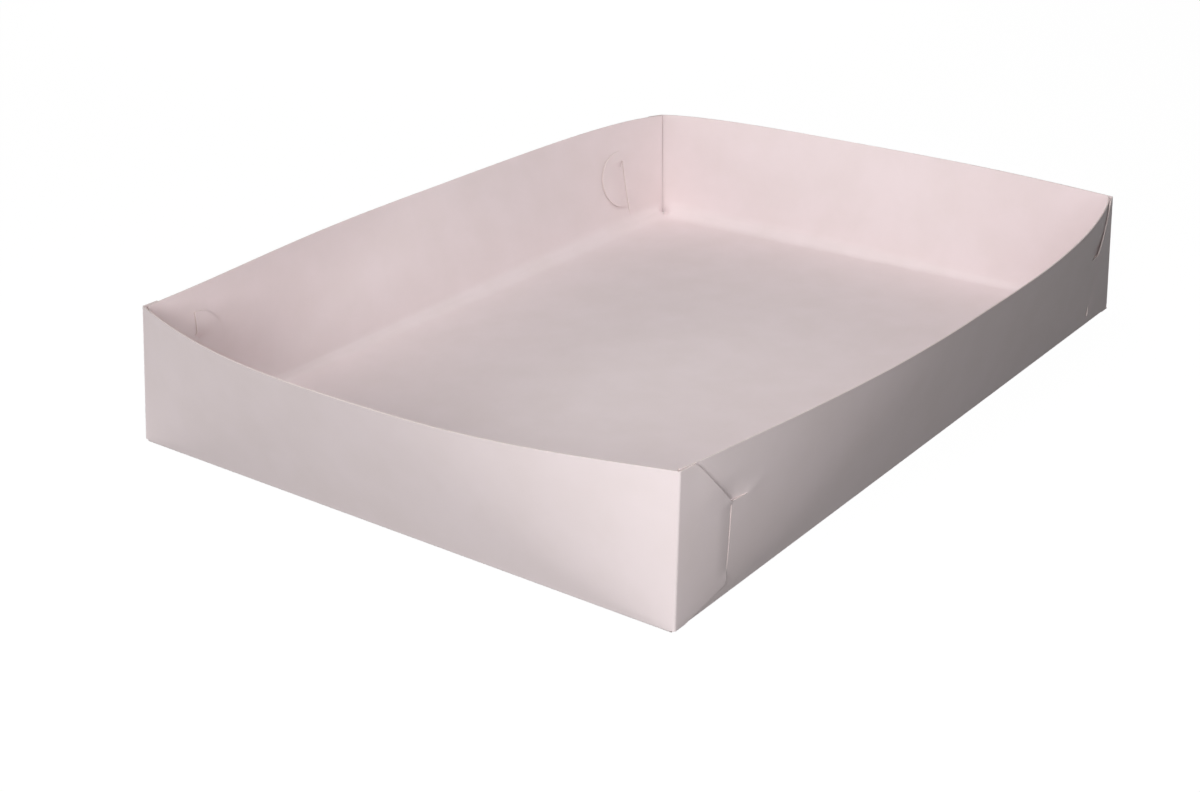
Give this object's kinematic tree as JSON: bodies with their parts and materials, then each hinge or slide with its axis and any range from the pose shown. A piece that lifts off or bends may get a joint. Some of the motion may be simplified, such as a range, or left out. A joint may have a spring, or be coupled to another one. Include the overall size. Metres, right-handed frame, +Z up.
{
  "type": "folded cardboard tray",
  "caption": "Shallow open-top rectangular tray folded from one sheet of white board, with walls that bow outward between inward-leaning corners, locked by slit-and-tab flaps.",
  "frame": {"origin": "centre of the flat floor's underside, between its four folds, on the surface that the tray stands on", "axes": "+X along the long side, +Y across the tray from the front long wall to the back one, +Z up"},
  "size_m": [0.4469, 0.3268, 0.065],
  "materials": {
    "white_board": "matt clay-coated white board, bare at the cut edges"
  },
  "bodies": {
    "root": {"tray": "white_board"}
  },
  "joints": []
}
